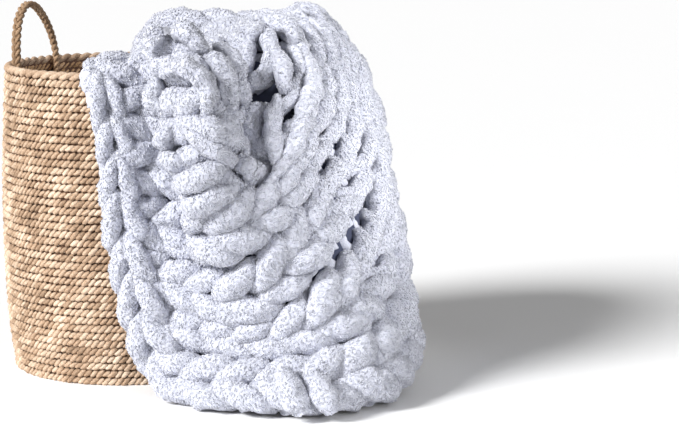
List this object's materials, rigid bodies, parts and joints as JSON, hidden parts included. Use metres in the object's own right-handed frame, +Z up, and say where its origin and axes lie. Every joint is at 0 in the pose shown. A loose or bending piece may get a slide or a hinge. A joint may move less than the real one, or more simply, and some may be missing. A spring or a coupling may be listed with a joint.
{
  "type": "chunky knit blanket draped over a basket",
  "caption": "Thick knitted chenille blanket thrown over the rim of a round coiled basket, one end inside and the other spread on the floor.",
  "frame": {"origin": "middle of the basket's flat underside, on the floor", "axes": "+Z up, -Y towards the viewer of the picture, +X to the viewer's right"},
  "size_m": [0.5795, 0.5538, 0.5216],
  "materials": {
    "chenille_yarn": "plush chenille yarn, pale blue grey, very matt with a soft sheen",
    "jute_rope": "twisted natural jute rope, coiled and stitched, matt",
    "jute_plait": "plaited natural jute, matt"
  },
  "bodies": {
    "root": {"blanket": "chenille_yarn", "basket": "jute_rope", "handle": "jute_plait"}
  },
  "joints": []
}
